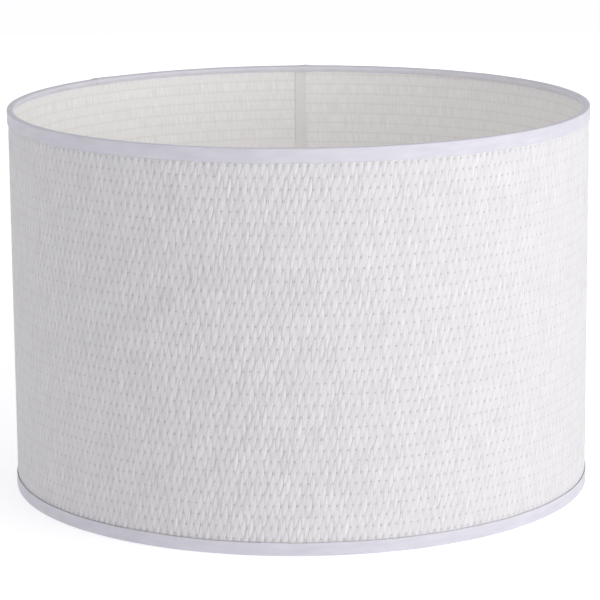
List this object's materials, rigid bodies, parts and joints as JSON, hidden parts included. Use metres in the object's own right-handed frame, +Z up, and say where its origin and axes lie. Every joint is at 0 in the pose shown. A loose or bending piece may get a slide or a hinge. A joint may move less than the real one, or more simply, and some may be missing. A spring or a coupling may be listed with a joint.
{
  "type": "lamp shade",
  "caption": "Drum lamp shade in white woven fabric on a film liner, with taped wire rings and a low wire spider whose fitter takes an E27 lamp holder.",
  "frame": {"origin": "centre of the base, on the plane the bottom binding stands on", "axes": "+Z up along the drum's axis, +Y towards the seam at the back"},
  "size_m": [0.3999, 0.4, 0.264],
  "materials": {
    "woven_cover": "white woven yarn bundles with thin cross threads",
    "liner_film": "translucent white film with the weave showing through",
    "seam_adhesive": "pale double-sided tape",
    "binding_tape": "smooth white tape with a cool tint",
    "frame_wire": "white powder coat on steel wire",
    "fitter_steel": "white powder coat on pressed steel"
  },
  "bodies": {
    "root": {"fabric_cover": "woven_cover", "liner": "liner_film", "seam_tape": "seam_adhesive", "top_binding": "binding_tape", "bottom_binding": "binding_tape", "top_ring": "frame_wire", "bottom_ring": "frame_wire", "spider_arm_1": "frame_wire", "spider_arm_2": "frame_wire", "spider_arm_3": "frame_wire", "fitter_ring": "fitter_steel"}
  },
  "joints": []
}
